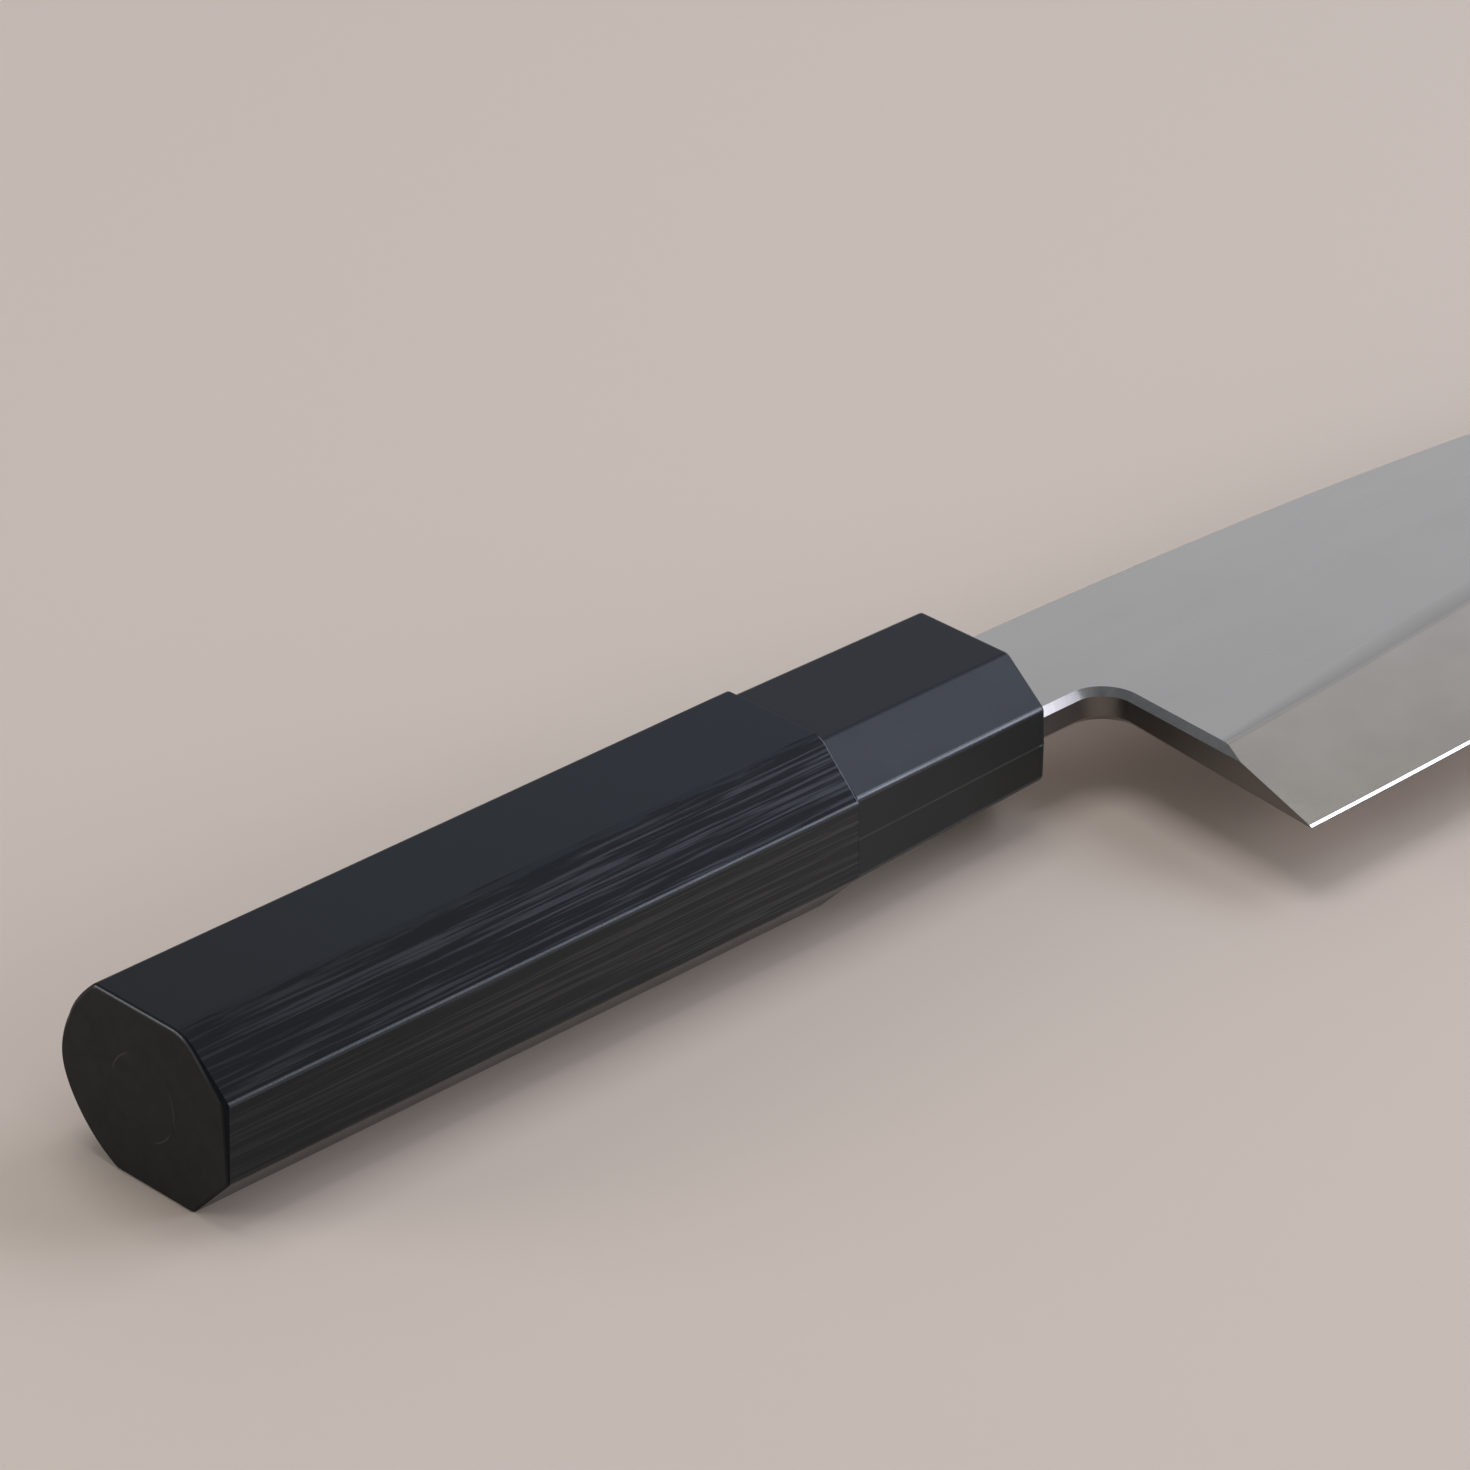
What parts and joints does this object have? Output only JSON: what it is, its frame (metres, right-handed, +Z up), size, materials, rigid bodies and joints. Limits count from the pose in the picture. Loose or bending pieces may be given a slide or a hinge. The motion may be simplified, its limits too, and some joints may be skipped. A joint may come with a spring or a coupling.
{
  "type": "deba knife",
  "caption": "Single-bevel deba kitchen knife: thick tapered steel blade on a hidden tang, narrowing faceted resin ferrule, and a laminated-wood grip with a faceted side and a round side.",
  "frame": {"origin": "middle of the knife's box in plan, on the plane of the grip's lower flat", "axes": "+X along the handle to the point, +Y from the cutting edge to the spine, +Z up out of the bevelled side"},
  "size_m": [0.3204, 0.061, 0.023],
  "materials": {
    "blade_steel": "satin-ground stainless steel with a honed edge",
    "ferrule_resin": "smooth matte moulded resin",
    "grip_wood": "black resin-impregnated laminated wood with open lengthwise grain",
    "plug_wood": "black resin-impregnated laminated wood, sanded end grain",
    "adhesive": "cured amber adhesive"
  },
  "bodies": {
    "root": {"blade": "blade_steel", "ferrule": "ferrule_resin", "grip": "grip_wood", "tang_adhesive": "adhesive", "butt_plug": "plug_wood"}
  },
  "joints": []
}
